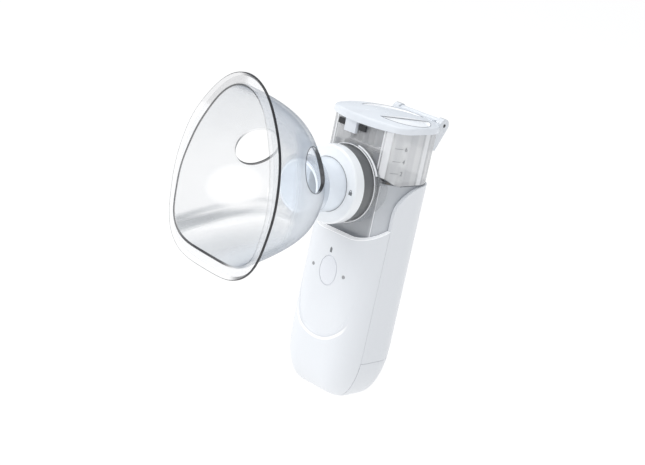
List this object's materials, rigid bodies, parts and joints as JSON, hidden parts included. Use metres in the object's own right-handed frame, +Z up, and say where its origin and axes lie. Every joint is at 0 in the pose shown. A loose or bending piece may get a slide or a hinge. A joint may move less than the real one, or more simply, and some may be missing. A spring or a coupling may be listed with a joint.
{
  "type": "portable mesh nebulizer",
  "caption": "Battery mesh nebulizer standing on its rounded base, with a clear medicine cup, hinged lid, outlet adapter and a clear vented face mask for a child.",
  "frame": {"origin": "centre of the flat face under the base", "axes": "+Z up through the housing, -Y out of the outlet towards the mask, +X to the user's left as the mask faces the user"},
  "size_m": [0.0555, 0.1098, 0.1367],
  "materials": {
    "housing_white": "satin moulded ABS",
    "button_white": "soft-touch satin",
    "icon_lens": "tinted light pipe",
    "cup_clear": "clear moulded polycarbonate",
    "skirt_clear": "clear moulded polycarbonate, lightly smoked",
    "lid_milky": "milky translucent plastic",
    "adapter_white": "gloss white plastic",
    "tube_clear": "clear connector plastic",
    "mask_vinyl": "soft clear PVC",
    "seal_dark": "dark silicone",
    "inner_dark": "black moulded plastic",
    "gasket_clear": "translucent silicone",
    "contact_metal": "gold-plated",
    "spring_steel": "nickel-plated wire and strip",
    "screw_steel": "zinc-plated",
    "mesh_metal": "perforated mesh plate",
    "piezo_ceramic": "fired ceramic ring",
    "board_green": "solder mask",
    "chip_black": "moulded chip package",
    "led_lens": "light-emitting diode",
    "cell_jacket": "printed-free battery jacket with metal ends"
  },
  "bodies": {
    "main_unit": {"front_shell": "housing_white", "rear_shell": "housing_white", "indicator_lenses": "icon_lens", "control_board": "board_green", "tact_switch": "chip_black", "board_chips": "chip_black", "status_leds": "led_lens", "board_screws": "screw_steel", "shell_screws": "screw_steel", "battery_cells": "cell_jacket", "battery_tray": "inner_dark", "tray_contacts": "spring_steel", "dock_deck": "inner_dark", "dock_contacts": "contact_metal"},
    "power_button": {"power_button": "button_white"},
    "battery_door": {"battery_door": "housing_white", "door_contact": "spring_steel", "door_springs": "spring_steel"},
    "medicine_cup": {"reservoir": "cup_clear", "cup_skirt": "skirt_clear", "outlet_collar": "cup_clear", "outlet_seal": "seal_dark", "mesh_carrier": "inner_dark", "mesh_seal": "seal_dark", "mesh_plate": "mesh_metal", "piezo_ring": "piezo_ceramic", "spray_baffle": "inner_dark", "cup_contacts": "contact_metal", "latch_catch": "inner_dark", "hinge_pin": "screw_steel"},
    "lid": {"lid": "lid_milky", "lid_gasket": "gasket_clear"},
    "outlet_adapter": {"adapter_ring": "adapter_white", "outlet_tube": "tube_clear"},
    "face_mask": {"face_mask": "mask_vinyl"}
  },
  "joints": [
    {"name": "button_press", "type": "slide", "parent": "main_unit", "child": "power_button", "axis": [0, 1, 0], "range_m": [0, 0.0008], "stiffness_N_per_m": 1000},
    {"name": "door_slide", "type": "slide", "parent": "main_unit", "child": "battery_door", "axis": [0, 1, 0], "range_m": [0, 0.03]},
    {"name": "cup_lift", "type": "slide", "parent": "main_unit", "child": "medicine_cup", "axis": [0, 0, 1], "range_m": [0, 0.035]},
    {"name": "lid_hinge", "type": "hinge", "parent": "medicine_cup", "child": "lid", "pos_m": [0, 0.0196, 0.1182], "axis": [-1, 0, 0], "range_deg": [0, 110]},
    {"name": "adapter_twist", "type": "hinge", "parent": "medicine_cup", "child": "outlet_adapter", "pos_m": [0, -0.028, 0.0912], "axis": [0, 1, 0], "range_deg": [0, 30]},
    {"name": "mask_pull", "type": "slide", "parent": "outlet_adapter", "child": "face_mask", "axis": [0, -1, 0], "range_m": [0, 0.02]}
  ]
}
